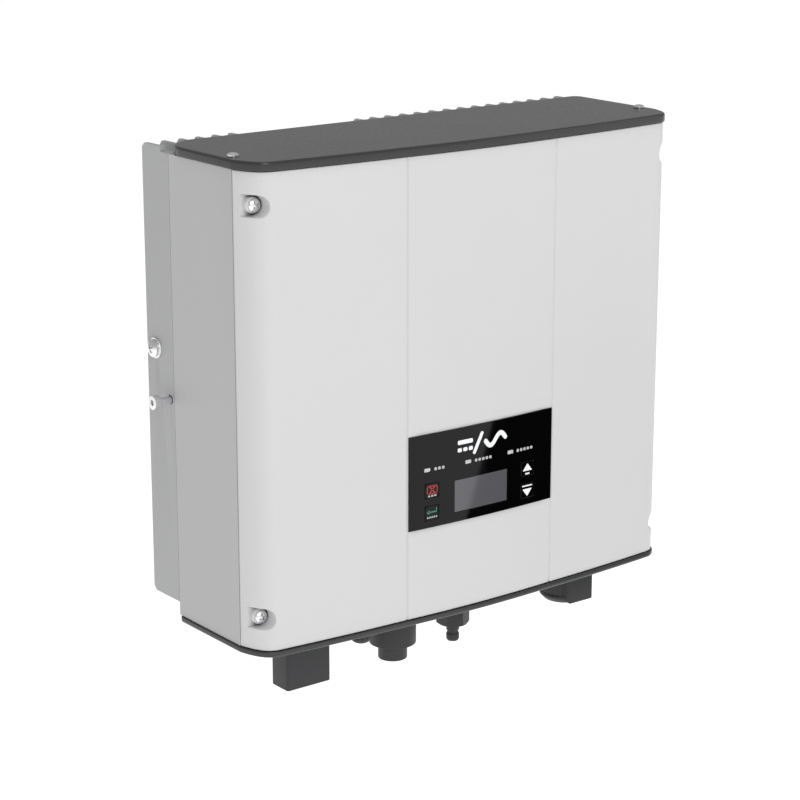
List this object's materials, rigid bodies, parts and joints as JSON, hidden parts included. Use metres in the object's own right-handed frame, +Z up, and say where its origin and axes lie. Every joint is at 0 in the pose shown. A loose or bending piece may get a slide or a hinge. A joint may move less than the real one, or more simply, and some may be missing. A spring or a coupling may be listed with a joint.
{
  "type": "string inverter",
  "caption": "Wall-hung solar string inverter: finned aluminium back, bowed front cover, dark lid, display with keys, isolator and connectors underneath.",
  "frame": {"origin": "middle of the wall bracket's back face, where it meets the wall", "axes": "+Z up, +Y into the wall, the front looks along -Y, +X to the right seen from the front"},
  "size_m": [0.311, 0.1183, 0.3117],
  "materials": {
    "sink_metal": "fine bead-blasted, satin",
    "zinc_plate": "zinc plated, satin",
    "bright_steel": "bright, lightly brushed",
    "case_paint": "fine textured powder coat",
    "cover_paint": "fine powder coat, satin",
    "gasket_rubber": "foam rubber, matt",
    "dark_paint": "dark grey powder coat, satin",
    "overlay_gloss": "polished black",
    "window_pane": "clear pane over a grey display",
    "lamp_lens": "clear lens",
    "key_gloss": "polished black with a printed sign",
    "board_laminate": "green solder mask",
    "module_plastic": "moulded epoxy",
    "black_plastic": "fine spark-eroded texture",
    "thermal_film": "soft silicone film",
    "capacitor_sleeve": "shrink sleeve",
    "ferrite": "sintered, matt",
    "copper_wire": "enamelled winding",
    "relay_plastic": "moulded, smooth",
    "terminal_plastic": "moulded, smooth"
  },
  "bodies": {
    "root": {"heat_sink": "sink_metal", "wall_bracket": "zinc_plate", "sink_hook": "zinc_plate", "clamp_bar": "zinc_plate", "hook_screw_1": "bright_steel", "hook_screw_2": "bright_steel", "earth_washer": "bright_steel", "earth_screw": "bright_steel", "side_bolt": "bright_steel", "cover_screw_1": "bright_steel", "cover_screw_2": "bright_steel", "cover_screw_3": "bright_steel", "cover_screw_4": "bright_steel", "lid_screw_1": "bright_steel", "lid_screw_2": "bright_steel", "plate_screw_1": "bright_steel", "plate_screw_2": "bright_steel", "case_frame": "case_paint", "front_cover": "cover_paint", "cover_gasket": "gasket_rubber", "top_lid": "dark_paint", "bottom_plate": "dark_paint", "display_overlay": "overlay_gloss", "display_window": "window_pane", "lamp_run": "lamp_lens", "lamp_alarm": "lamp_lens", "lamp_fault": "lamp_lens", "display_board": "board_laminate", "power_board": "board_laminate", "control_board": "board_laminate", "lcd_module": "module_plastic", "boost_module": "module_plastic", "bridge_module": "module_plastic", "isolator_body": "black_plastic", "signal_gland": "black_plastic", "gland_cap": "black_plastic", "vent_plug": "black_plastic", "pv_plus_receptacle": "black_plastic", "pv_plus_nut": "black_plastic", "pv_minus_receptacle": "black_plastic", "pv_minus_nut": "black_plastic", "ac_connector": "black_plastic", "thermal_pad": "thermal_film", "dc_link_capacitor_1": "capacitor_sleeve", "dc_link_capacitor_2": "capacitor_sleeve", "dc_link_capacitor_3": "capacitor_sleeve", "boost_inductor": "ferrite", "filter_inductor": "ferrite", "emi_choke": "copper_wire", "grid_relay_1": "relay_plastic", "grid_relay_2": "relay_plastic", "dc_terminal_block": "terminal_plastic", "ac_terminal_block": "terminal_plastic"},
    "isolator": {"isolator_handle": "black_plastic", "isolator_shaft": "zinc_plate"},
    "key_escape": {"key_escape": "key_gloss"},
    "key_enter": {"key_enter": "key_gloss"},
    "key_up": {"key_up": "key_gloss"},
    "key_down": {"key_down": "key_gloss"},
    "ac_dust_cap": {"ac_dust_cap": "black_plastic"}
  },
  "joints": [
    {"name": "isolator_turn", "type": "hinge", "parent": "root", "child": "isolator", "pos_m": [-0.0944, -0.0706, -0.2025], "axis": [0, 0, 1], "range_deg": [0, 90]},
    {"name": "key_escape_press", "type": "slide", "parent": "root", "child": "key_escape", "axis": [0, 1, 0], "range_m": [0, 0.0006], "stiffness_N_per_m": 1500},
    {"name": "key_enter_press", "type": "slide", "parent": "root", "child": "key_enter", "axis": [0, 1, 0], "range_m": [0, 0.0006], "stiffness_N_per_m": 1500},
    {"name": "key_up_press", "type": "slide", "parent": "root", "child": "key_up", "axis": [0, 1, 0], "range_m": [0, 0.0006], "stiffness_N_per_m": 1500},
    {"name": "key_down_press", "type": "slide", "parent": "root", "child": "key_down", "axis": [0, 1, 0], "range_m": [0, 0.0006], "stiffness_N_per_m": 1500},
    {"name": "ac_cap_turn", "type": "hinge", "parent": "root", "child": "ac_dust_cap", "pos_m": [0.104, -0.0706, -0.1975], "axis": [0, 0, -1], "range_deg": [0, 60]}
  ]
}
